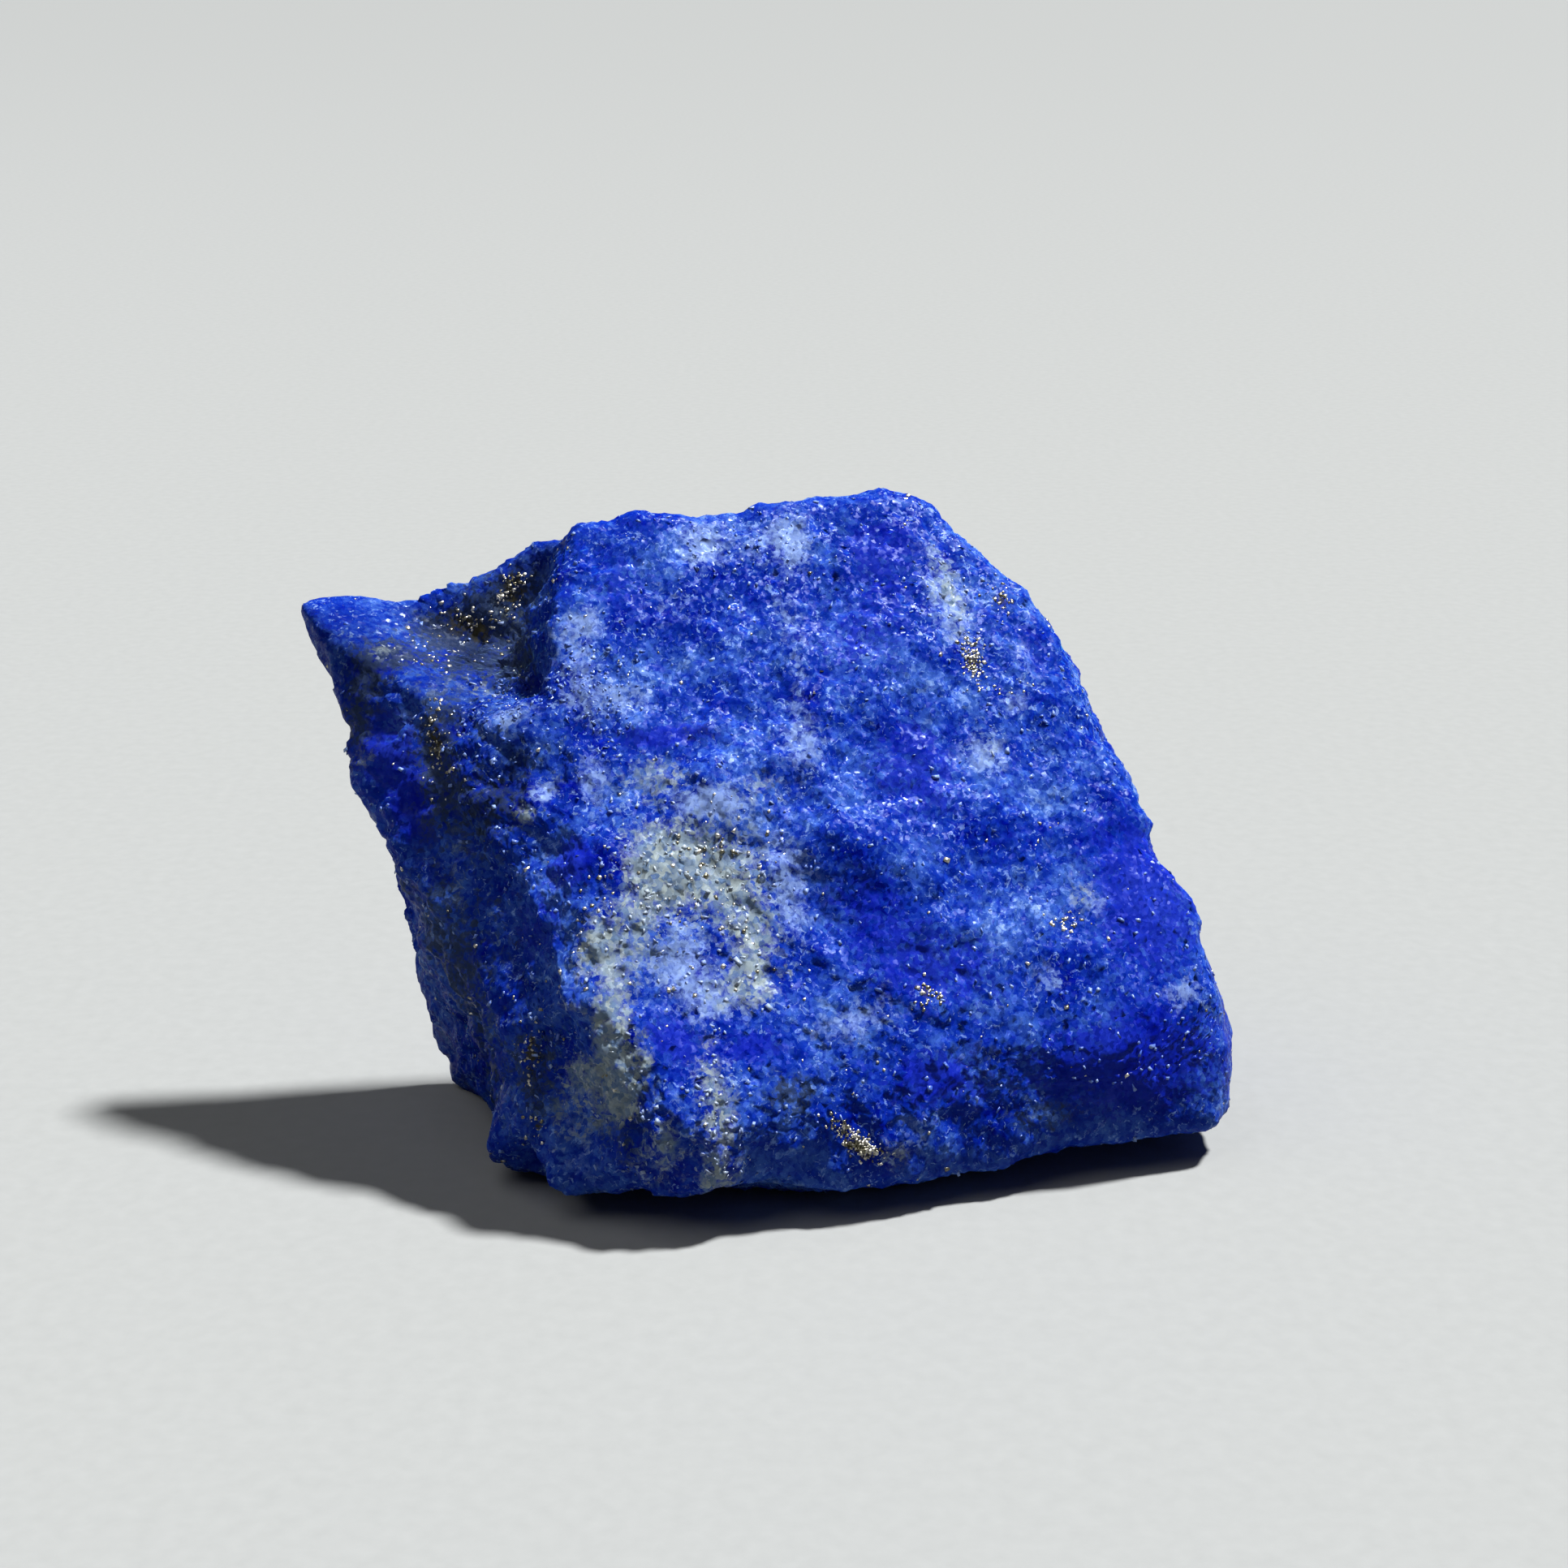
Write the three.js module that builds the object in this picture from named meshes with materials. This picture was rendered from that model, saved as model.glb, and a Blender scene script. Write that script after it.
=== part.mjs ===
// Lapis lazuli specimen: one rough, broken piece of blue stone.
//
// Millimetres, +Z up. The stone stands on its flat broken base at z = 0, with its
// long side along X and its broad, sloping front face towards -Y. The origin is the
// centre of its footprint.
//
// The stone is star-shaped about a point inside it, so its surface is one function:
// the distance from that point along each direction. Broad fracture planes give the
// main form, a step cut opens the alcove behind the horn, and three sizes of shallow
// break (bites, chips and streaks) roughen it.

import * as THREE from 'three';
import { mergeVertices } from 'three/addons/utils/BufferGeometryUtils.js';

// ---------- Driving dimensions ----------

const CORE = [0.5, 2.0, 8.5]; // the inner point that sees the whole surface
const PLACE = [0.2, 0.2, 0.0]; // moves the finished stone over its footprint's centre
const BASE_DEPTH = 0.08; // how far the lowest plane lies under the ground-off base
const EDGE_POWER = 30; // larger is a sharper edge where two fracture planes meet

// The box of directions lies parallel to the front face: half sizes and squares
// across the face, up its slope, and through the stone.
const REACH = [16.0, 12.0, 4.5];
const SQUARES = [42, 32, 13];

// Corners of the broken stone. The front face runs from the top edge down to the lip.
const CORNERS = {
  horn: [-16.3, 4.1, 17.8], // the pointed upper left end
  shelf: [-11.3, 0.4, 14.9], // front edge of the small lit shelf under the horn
  rim: [-10.0, 6.5, 19.8], // skyline between the horn and the ridge
  ridgeTop: [-6.8, 4.9, 20.5], // the ridge parts the left side from the front face
  ridgeNotch: [-7.8, 1.0, 16.5],
  ridgeBend: [-7.1, -3.5, 11.3],
  ridgeFoot: [-3.1, -9.3, 3.7],
  chin: [-2.6, -9.1, 1.45], // lowest corner at the left of the front
  lip: [2.8, -8.2, 1.2], // front edge of the overhanging underside
  heel: [-11.6, 0.9, 0.3], // where the left side meets the ground
  topEdge: [3.3, 8.2, 21.1], // the highest stretch of the top edge
  backTop: [-2.2, 8.2, 20.0],
  backRight: [8.0, 9.0, 12.0],
  shoulder: [8.4, 7.0, 18.8],
  flank: [13.3, 1.7, 11.4],
  toe: [16.0, -3.2, 5.2],
  toeTip: [16.0, -4.9, 3.0], // the rounded lower right end
  toeSole: [15.5, -4.2, 1.15],
  floor: [0.0, 0.0, -BASE_DEPTH],
};

// Fracture planes: a corner that the plane passes through, and the azimuth and
// elevation, in degrees, that it faces. Azimuth 0 is +X and -90 is the front.
const FACETS = {
  front: ['ridgeTop', -75.7, 41.4],
  frontFoot: ['ridgeFoot', -72.5, 15.5],
  left: ['ridgeBend', -115.7, 25.1],
  leftFoot: ['chin', -97.5, 1.0],
  leftBack: ['heel', -155.0, -13.3],
  leftEnd: ['horn', -165.0, -15.0],
  backLeft: ['backTop', 98.0, -13.0],
  backRight: ['backRight', 62.0, -2.0],
  topBack: ['topEdge', 110.0, 60.0],
  topLeft: ['rim', 126.0, 58.0],
  shoulder: ['shoulder', 28.0, 38.0],
  flank: ['flank', 12.0, 22.0],
  toe: ['toe', 10.0, 8.0],
  toeTip: ['toeTip', -10.0, -22.0],
  toeSole: ['toeSole', -20.0, -80.0],
  undercut: ['lip', -80.0, -70.0],
  base: ['floor', -90.0, -90.0],
};

// The alcove: what lies beyond all of these planes at once is broken away.
const ALCOVE = {
  tread: ['shelf', -68.0, 66.0],
  riser: ['ridgeNotch', -152.0, 34.0],
  backWall: ['rim', -102.0, 30.0],
};

// Facets that split along the grain, where the breaks are long streaks.
const STREAKED = ['left', 'leftFoot', 'leftBack', 'leftEnd'];
const STREAK_RUN = [0.407, -0.558, -0.723]; // from the horn down to the chin
const STREAK_STRETCH = 0.78; // share of the run that a streak ignores

// Layers of shallow breaks: size of one break, depth of its relief, and its seed.
const BITES = { size: 6.2, depth: 1.1, level: 0.5, seed: 11 };
const CHIPS = { size: 2.7, depth: 0.45, level: 0.5, seed: 23 };
const STREAKS = { size: 2.1, depth: 0.8, level: 0.5, seed: 37 };
const BITES_ON_FRONT = 0.5; // share of their depth that bites keep on the front face
const CHIPS_ON_STREAKED = 0.4; // share of their depth that chips keep on streaked facets

// Single swellings (height above 0) and hollows (below 0) of a given radius.
const SPOTS = [
  { name: 'bulge of the back', at: [5.0, 7.5, 8.0], radius: 6.0, height: 2.6 },
  { name: 'horn knob', at: [-14.6, 4.2, 17.8], radius: 2.0, height: 0.6 },
  { name: 'dip behind the horn', at: [-11.6, 6.2, 18.4], radius: 1.2, height: -0.45 },
  { name: 'rim behind the horn', at: [-10.4, 6.4, 19.0], radius: 1.6, height: -0.5 },
  { name: 'swelling of the left side', at: [-14.0, 0.8, 11.9], radius: 2.3, height: 0.6 },
  { name: 'heel swelling', at: [-11.3, 1.4, 0.6], radius: 1.3, height: 0.45 },
  { name: 'foot lump', at: [-9.6, -5.6, 1.6], radius: 1.3, height: 2.1 },
  { name: 'hollow over the foot', at: [-10.4, -3.8, 4.4], radius: 2.4, height: -0.8 },
  { name: 'nick beside the chin', at: [-8.3, -7.2, 1.0], radius: 1.0, height: -0.9 },
  { name: 'hollow of the lip', at: [-0.4, -8.6, 0.8], radius: 1.9, height: -1.15 },
  { name: 'nick of the lip', at: [5.4, -6.7, 0.4], radius: 1.3, height: -0.6 },
  { name: 'hollow below the toe', at: [10.2, -5.6, 0.9], radius: 2.5, height: -0.3 },
  { name: 'hollow of the alcove', at: [-9.8, 4.6, 17.0], radius: 1.6, height: -0.7 },
  { name: 'groove of the alcove', at: [-11.8, 4.4, 16.8], radius: 1.1, height: -0.85 },
  { name: 'knob of the shelf', at: [-12.1, 1.4, 15.7], radius: 0.9, height: 0.45 },
  { name: 'nick of the shelf', at: [-10.9, 0.0, 14.8], radius: 0.9, height: -0.5 },
  { name: 'chip of the shelf', at: [-8.9, -0.5, 14.6], radius: 1.0, height: 0.55 },
  { name: 'hollow beside the ridge', at: [-8.3, -1.5, 13.5], radius: 1.2, height: -0.75 },
  { name: 'dent beside the ridge', at: [-7.6, -3.2, 11.5], radius: 1.1, height: -0.45 },
  { name: 'swelling of the ridge', at: [-5.4, -6.9, 7.2], radius: 1.5, height: 0.35 },
  { name: 'crest of the ridge', at: [-6.9, 5.5, 20.4], radius: 1.0, height: 0.25 },
  { name: 'rise over the ridge', at: [-4.0, 6.0, 20.2], radius: 1.8, height: 0.4 },
  { name: 'dip of the top edge', at: [1.4, 8.4, 21.3], radius: 1.9, height: -0.65 },
  { name: 'shoulder swelling', at: [9.6, 6.6, 16.8], radius: 2.2, height: 0.4 },
  { name: 'nick of the shoulder', at: [6.6, 7.6, 19.4], radius: 1.0, height: -0.2 },
  { name: 'upper nick of the flank', at: [11.6, 3.6, 13.6], radius: 1.1, height: -0.6 },
  { name: 'lower nick of the flank', at: [14.2, 3.6, 9.8], radius: 2.8, height: -0.95 },
  { name: 'notch of the flank', at: [14.0, 1.0, 9.8], radius: 1.0, height: -0.6 },
  { name: 'hollow over the toe', at: [15.4, 0.2, 6.8], radius: 1.6, height: -0.3 },
  { name: 'ledge of the front face', at: [-1.6, -1.6, 12.6], radius: 1.6, height: 0.35 },
  { name: 'hollow under the ledge', at: [-1.2, -3.0, 11.2], radius: 1.3, height: -0.35 },
];

// ---------- Small vector helpers ----------

const dot = (a, b) => a[0] * b[0] + a[1] * b[1] + a[2] * b[2];
const subtract = (a, b) => [a[0] - b[0], a[1] - b[1], a[2] - b[2]];
const along = (from, unit, length) => from.map((value, axis) => value + unit[axis] * length);

function facing(azimuthDeg, elevationDeg) {
  const azimuth = THREE.MathUtils.degToRad(azimuthDeg);
  const elevation = THREE.MathUtils.degToRad(elevationDeg);
  const level = Math.cos(elevation);
  return [level * Math.cos(azimuth), level * Math.sin(azimuth), Math.sin(elevation)];
}

// A plane as its outward normal and its distance from CORE.
function plane([corner, azimuthDeg, elevationDeg]) {
  const normal = facing(azimuthDeg, elevationDeg);
  return { normal, distance: dot(normal, subtract(CORNERS[corner], CORE)) };
}

// ---------- Layered breaks ----------

// A repeatable number from 0 to 1 for one cell of a cubic lattice.
function cellNumber(ix, iy, iz, seed) {
  let hash = Math.imul(ix, 374761393) + Math.imul(iy, 668265263);
  hash = (hash + Math.imul(iz, 2246822519) + Math.imul(seed, 3266489917)) >>> 0;
  hash = Math.imul(hash ^ (hash >>> 15), 2246822519) >>> 0;
  hash = Math.imul(hash ^ (hash >>> 13), 3266489917) >>> 0;
  return ((hash ^ (hash >>> 16)) >>> 0) / 4294967296;
}

const LEVEL_SPREAD = 0.6; // how much the bowls differ in level
const BOWL_TILT = 0.8; // how much the bowls lean

// The lowest of many shallow bowls, one about a scattered point in each lattice cell.
// Neighbouring bowls meet in sharp arrises, as the scars of broken stone do.
function bowls(point, { size, level, seed }) {
  const place = point.map((value) => value / size);
  const cell = place.map(Math.floor);
  let lowest = Infinity;
  for (let i = -1; i <= 1; i++) {
    for (let j = -1; j <= 1; j++) {
      for (let k = -1; k <= 1; k++) {
        const home = [cell[0] + i, cell[1] + j, cell[2] + k];
        const number = (index) => cellNumber(home[0], home[1], home[2], seed + index);
        const offset = place.map((value, axis) => value - home[axis] - number(axis));
        const lean = offset.reduce((sum, value, axis) => sum + (number(4 + axis) - 0.5) * value, 0);
        const height = dot(offset, offset) + LEVEL_SPREAD * number(3) + BOWL_TILT * lean;
        lowest = Math.min(lowest, height);
      }
    }
  }
  return lowest - level;
}

// ---------- The stone's surface ----------

const facets = Object.entries(FACETS).map(([name, values]) => ({ name, ...plane(values) }));
const alcove = Object.values(ALCOVE).map(plane);

// For one direction: the distance to the fracture planes, and the share that the
// streaked facets, the front face and the base have in it.
function brokenForm(unit) {
  let total = 0;
  let streaked = 0;
  let front = 0;
  let base = 0;
  for (const { name, normal, distance } of facets) {
    const weight = Math.max(0, dot(unit, normal) / distance) ** EDGE_POWER;
    total += weight;
    if (STREAKED.includes(name)) streaked += weight;
    if (name === 'front') front = weight;
    if (name === 'base') base = weight;
  }
  const reach = alcove.map(({ normal, distance }) => dot(unit, normal) / distance);
  if (Math.min(...reach) > 1e-3) {
    total += 1 / reach.reduce((sum, value) => sum + value ** -EDGE_POWER, 0);
  }
  const share = { streaked: streaked / total, front: front / total, base: base / total };
  return { distance: total ** (-1 / EDGE_POWER), share };
}

function breaks(point, share) {
  const run = dot(point, STREAK_RUN) * STREAK_STRETCH;
  const squeezed = along(point, STREAK_RUN, -run);
  const biteDepth = BITES.depth * (1 - (1 - BITES_ON_FRONT) * share.front);
  const chipDepth = CHIPS.depth * (1 - (1 - CHIPS_ON_STREAKED) * share.streaked);
  const streakDepth = STREAKS.depth * share.streaked;
  const relief =
    biteDepth * bowls(point, BITES) +
    chipDepth * bowls(point, CHIPS) +
    streakDepth * bowls(squeezed, STREAKS);
  return relief * (1 - share.base);
}

function spots(point) {
  let sum = 0;
  for (const { at, radius, height } of SPOTS) {
    const gap = subtract(point, at);
    sum += height * Math.exp(-dot(gap, gap) / (radius * radius));
  }
  return sum;
}

function surfacePoint(unit) {
  const { distance, share } = brokenForm(unit);
  const point = along(CORE, unit, distance);
  const relief = breaks(point, share) + spots(point);
  const [x, y, z] = along(CORE, unit, distance + relief);
  return [x + PLACE[0], y + PLACE[1], Math.max(z, 0) + PLACE[2]];
}

// ---------- Mesh: a box of directions, flat to the front face ----------

function boxAxes() {
  const [, azimuthDeg, elevationDeg] = FACETS.front;
  const outward = new THREE.Vector3(...facing(azimuthDeg, elevationDeg));
  const across = new THREE.Vector3(...facing(azimuthDeg + 90, 0));
  const upSlope = new THREE.Vector3().crossVectors(outward, across);
  return new THREE.Matrix4().makeBasis(across, upSlope, outward);
}

function stoneGeometry() {
  const box = new THREE.BoxGeometry(...REACH.map((half) => 2 * half), ...SQUARES);
  box.deleteAttribute('normal');
  box.deleteAttribute('uv');
  const geometry = mergeVertices(box, 1e-4).applyMatrix4(boxAxes());
  const position = geometry.attributes.position;
  const unit = new THREE.Vector3();
  for (let index = 0; index < position.count; index++) {
    unit.fromBufferAttribute(position, index).normalize();
    position.setXYZ(index, ...surfacePoint(unit.toArray()));
  }
  geometry.computeVertexNormals();
  return geometry;
}

// ---------- The part ----------

const lapis = new THREE.MeshStandardMaterial({ color: 0x1f3fb0, roughness: 0.55, metalness: 0.0 });

const stone = new THREE.Mesh(stoneGeometry(), lapis);
stone.name = 'lapis_stone';

const specimen = new THREE.Group();
specimen.add(stone);

export default specimen;
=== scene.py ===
"""Lapis lazuli specimen: the look of one rough, broken piece of blue stone.

The stone's form is the same function as in its CAD source, in millimetres: the distance
from an inner point along each direction. Here it is worked out on a finer lattice, with
the small lumps and the sugary grain that break a lapis surface, and the crystals that
stand in it are added: grains of calcite and flecks of pyrite.
"""

import math

import bpy
import numpy as np
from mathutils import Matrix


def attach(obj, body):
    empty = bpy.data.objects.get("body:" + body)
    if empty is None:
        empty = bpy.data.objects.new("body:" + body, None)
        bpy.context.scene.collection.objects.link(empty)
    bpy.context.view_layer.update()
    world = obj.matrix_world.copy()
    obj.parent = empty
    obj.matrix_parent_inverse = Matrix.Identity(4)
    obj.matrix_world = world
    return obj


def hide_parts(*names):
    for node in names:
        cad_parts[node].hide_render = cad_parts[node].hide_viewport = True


bl_info = {
    "name": "Lapis lazuli specimen",
    "version": (1, 0, 0),
    "blender": (4, 5, 0),
    "location": "3D View > Sidebar > Lapis",
    "description": "Builds a rough lapis lazuli specimen, its crystals and its stage",
    "category": "Add Mesh",
}

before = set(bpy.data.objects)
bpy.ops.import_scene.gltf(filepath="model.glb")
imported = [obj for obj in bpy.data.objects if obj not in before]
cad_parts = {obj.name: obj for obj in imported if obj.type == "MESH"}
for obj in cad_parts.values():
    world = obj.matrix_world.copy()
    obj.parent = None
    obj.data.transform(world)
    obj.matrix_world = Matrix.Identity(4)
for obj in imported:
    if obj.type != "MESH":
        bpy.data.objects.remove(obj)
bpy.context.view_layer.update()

STONE_NODE = "lapis_stone"
MM = 0.001  # metres in a millimetre

# ---------- The stone's form, in millimetres, as in its CAD source ----------

CORE = np.array([0.5, 2.0, 8.5])  # the inner point that sees the whole surface
PLACE = np.array([0.2, 0.2, 0.0])  # moves the finished stone over its footprint's centre
BASE_DEPTH = 0.08  # how far the lowest plane lies under the ground-off base
EDGE_POWER = 30  # larger is a sharper edge where two fracture planes meet
REACH = np.array([16.0, 12.0, 4.5])  # half sizes of the box of directions about CORE
BARELY = 0.001  # inverse distance of a plane that a direction all but misses

CORNERS = {
    "horn": (-16.3, 4.1, 17.8),
    "shelf": (-11.3, 0.4, 14.9),
    "rim": (-10.0, 6.5, 19.8),
    "ridge top": (-6.8, 4.9, 20.5),
    "ridge notch": (-7.8, 1.0, 16.5),
    "ridge bend": (-7.1, -3.5, 11.3),
    "ridge foot": (-3.1, -9.3, 3.7),
    "chin": (-2.6, -9.1, 1.45),
    "lip": (2.8, -8.2, 1.2),
    "heel": (-11.6, 0.9, 0.3),
    "top edge": (3.3, 8.2, 21.1),
    "back top": (-2.2, 8.2, 20.0),
    "back right": (8.0, 9.0, 12.0),
    "shoulder": (8.4, 7.0, 18.8),
    "flank": (13.3, 1.7, 11.4),
    "toe": (16.0, -3.2, 5.2),
    "toe tip": (16.0, -4.9, 3.0),
    "toe sole": (15.5, -4.2, 1.15),
    "floor": (0.0, 0.0, -BASE_DEPTH),
}

# Fracture planes: the corner each passes through, and the azimuth and elevation it faces.
FACETS = {
    "front": ("ridge top", -75.7, 41.4),
    "front foot": ("ridge foot", -72.5, 15.5),
    "left": ("ridge bend", -115.7, 25.1),
    "left foot": ("chin", -97.5, 1.0),
    "left back": ("heel", -155.0, -13.3),
    "left end": ("horn", -165.0, -15.0),
    "back left": ("back top", 98.0, -13.0),
    "back right": ("back right", 62.0, -2.0),
    "top back": ("top edge", 110.0, 60.0),
    "top left": ("rim", 126.0, 58.0),
    "shoulder": ("shoulder", 28.0, 38.0),
    "flank": ("flank", 12.0, 22.0),
    "toe": ("toe", 10.0, 8.0),
    "toe tip": ("toe tip", -10.0, -22.0),
    "toe sole": ("toe sole", -20.0, -80.0),
    "undercut": ("lip", -80.0, -70.0),
    "base": ("floor", -90.0, -90.0),
}

# The alcove: what lies beyond all of these planes at once is broken away.
ALCOVE = {
    "tread": ("shelf", -68.0, 66.0),
    "riser": ("ridge notch", -152.0, 34.0),
    "back wall": ("rim", -102.0, 30.0),
}

STREAKED = ("left", "left foot", "left back", "left end")  # split along the grain
STREAK_RUN = np.array([0.407, -0.558, -0.723])  # from the horn down to the chin
STREAK_STRETCH = 0.78  # share of the run that a streak ignores

# Layers of shallow breaks: size of one, depth of its relief, level, and seed.
BITES = {"size": 6.2, "depth": 1.1, "level": 0.5, "seed": 11}
CHIPS = {"size": 2.7, "depth": 0.45, "level": 0.5, "seed": 23}
STREAKS = {"size": 2.1, "depth": 0.8, "level": 0.5, "seed": 37}
BITES_ON_FRONT = 0.5  # share of their depth that bites keep on the front face
CHIPS_ON_STREAKED = 0.4  # share of their depth that chips keep on streaked facets
LEVEL_SPREAD = 0.6  # how much the bowls differ in level
BOWL_TILT = 0.8  # how much the bowls lean

# Single swellings (height above 0) and hollows (below 0): place, radius and height.
SPOTS = {
    "bulge of the back": ((5.0, 7.5, 8.0), 6.0, 2.6),
    "horn knob": ((-14.6, 4.2, 17.8), 2.0, 0.6),
    "dip behind the horn": ((-11.6, 6.2, 18.4), 1.2, -0.45),
    "rim behind the horn": ((-10.4, 6.4, 19.0), 1.6, -0.5),
    "swelling of the left side": ((-14.0, 0.8, 11.9), 2.3, 0.6),
    "heel swelling": ((-11.3, 1.4, 0.6), 1.3, 0.45),
    "foot lump": ((-9.6, -5.6, 1.6), 1.3, 2.1),
    "hollow over the foot": ((-10.4, -3.8, 4.4), 2.4, -0.8),
    "nick beside the chin": ((-8.3, -7.2, 1.0), 1.0, -0.9),
    "hollow of the lip": ((-0.4, -8.6, 0.8), 1.9, -1.15),
    "nick of the lip": ((5.4, -6.7, 0.4), 1.3, -0.6),
    "hollow below the toe": ((10.2, -5.6, 0.9), 2.5, -0.3),
    "hollow of the alcove": ((-9.8, 4.6, 17.0), 1.6, -0.7),
    "groove of the alcove": ((-11.8, 4.4, 16.8), 1.1, -0.85),
    "knob of the shelf": ((-12.1, 1.4, 15.7), 0.9, 0.45),
    "nick of the shelf": ((-10.9, 0.0, 14.8), 0.9, -0.5),
    "chip of the shelf": ((-8.9, -0.5, 14.6), 1.0, 0.55),
    "hollow beside the ridge": ((-8.3, -1.5, 13.5), 1.2, -0.75),
    "dent beside the ridge": ((-7.6, -3.2, 11.5), 1.1, -0.45),
    "swelling of the ridge": ((-5.4, -6.9, 7.2), 1.5, 0.35),
    "crest of the ridge": ((-6.9, 5.5, 20.4), 1.0, 0.25),
    "rise over the ridge": ((-4.0, 6.0, 20.2), 1.8, 0.4),
    "dip of the top edge": ((1.4, 8.4, 21.3), 1.9, -0.65),
    "shoulder swelling": ((9.6, 6.6, 16.8), 2.2, 0.4),
    "nick of the shoulder": ((6.6, 7.6, 19.4), 1.0, -0.2),
    "upper nick of the flank": ((11.6, 3.6, 13.6), 1.1, -0.6),
    "lower nick of the flank": ((14.2, 3.6, 9.8), 2.8, -0.95),
    "notch of the flank": ((14.0, 1.0, 9.8), 1.0, -0.6),
    "hollow over the toe": ((15.4, 0.2, 6.8), 1.6, -0.3),
    "ledge of the front face": ((-1.6, -1.6, 12.6), 1.6, 0.35),
    "hollow under the ledge": ((-1.2, -3.0, 11.2), 1.3, -0.35),
}

# ---------- Finer detail, which only the looks have ----------

SQUARES = (196, 150, 58)  # along each side of the box of directions: 197,872 triangles
LATTICE_SHAKE = 0.22  # how far a lattice point strays from its place, in squares
STRAY_SEEDS = (61, 62, 63)  # of the lattice points' straying
SHAKE_SEED = 64  # of the grain's relief
CUT_SEED = 5  # of the diagonals along which squares are cut
LUMPS = {"size": 1.15, "depth": 0.22, "level": 0.4, "seed": 41}
CRUMBS = {"size": 0.55, "depth": 0.15, "level": 0.4, "seed": 53}
SPLINTERS = {"size": 0.9, "depth": 0.4, "level": 0.4, "seed": 71}
ROUGHER_STREAKED = 0.7  # how much more lumps and crumbs stand out on streaked facets
GRAIN_RELIEF = 0.04  # the most that a point rises or falls at random

# Where the stone is smoother (below 1) or rougher (above 1): place, radius and factor.
TEXTURE = {
    "horn tip": ((-15.6, 4.0, 17.4), 2.0, 0.4),
    "toe": ((14.0, -3.0, 5.0), 4.2, 0.35),
    "alcove": ((-10.4, 3.6, 16.6), 3.2, 1.9),
    "chin": ((-5.6, -8.4, 3.0), 3.0, 1.3),
    "middle of the front": ((3.2, -2.4, 10.0), 2.6, 0.45),
}

# Small swellings and hollows, as SPOTS.
NICKS = {
    "pit of the alcove": ((-12.0, 5.3, 17.0), 1.0, -0.8),
    "upper pit of the alcove": ((-8.8, 5.5, 18.3), 1.1, -0.8),
    "crevice beside the ridge": ((-8.3, 1.6, 15.6), 0.7, -0.6),
    "lip of the shelf": ((-9.1, -0.2, 14.4), 0.7, 0.35),
    "lump of the shelf": ((-10.2, 1.0, 15.3), 0.8, 0.3),
    "knob below the horn": ((-13.4, 3.0, 16.4), 0.6, 0.3),
    "knob of the alcove": ((-10.5, 3.8, 16.5), 0.6, 0.35),
    "rise of the toe": ((11.1, -4.7, 4.2), 1.7, 0.45),
    "rise of the front": ((2.7, -2.1, 10.4), 1.4, 0.34),
}

# Colour patches of each mineral, and of painted shade: place across and up a face, half width
# and height, and strength. Then the face, where it isn't the front, and the turn in degrees, if
# any. Faces are FACETS or ALCOVE planes.
PATCHES = {}
PATCHES["pure"] = {  # the cleanest, deepest ultramarine
    "top left pure": ((-5.2, 9.6), (1.4, 1.3), 0.5),
    "streak pure": ((-4.6, 3.7), (2.0, 0.5), 0.9),
    "upper pure": ((3.2, 7.0), (2.0, 1.8), 0.6),
    "top right pure": ((4.6, 10.3), (1.9, 1.6), 0.75),
    "middle pure": ((4.2, 1.6), (2.0, 2.4), 0.7),
    "ridge dot": ((-8.2, -0.5), (0.8, 0.9), 0.95),
    "centre pure": ((1.3, -3.0), (1.8, 2.0), 0.55),
    "right pure": ((11.4, -3.6), (2.2, 3.4), 0.95),
    "flank pure": ((9.4, 5.8), (0.9, 1.3), 0.5),
    "low left pure": ((-5.8, -7.1), (1.0, 1.1), 0.9),
    "low middle pure": ((-3.2, -7.6), (1.3, 0.7), 0.8),
    "low right pure": ((3.6, -5.6), (2.6, 1.8), 0.65),
    "toe pure": ((9.8, -9.6), (4.2, 1.8), 0.95),
    "lip pure": ((2.6, -9.4), (1.8, 1.0), 0.8),
    "horn pure": ((0.0, 9.0), (6.0, 1.6), 0.9, "left end"),
    "back pure": ((-1.0, -4.2), (4.5, 2.2), 0.85, "back left"),
    "back top pure": ((4.5, 7.0), (3.0, 1.6), 0.7, "back left", -20),
    "left pure": ((-10.0, -0.5), (1.1, 1.6), 0.75, "left", 20),
    "left low pure": ((-4.6, -3.6), (1.2, 1.6), 0.6, "left"),
}
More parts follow.
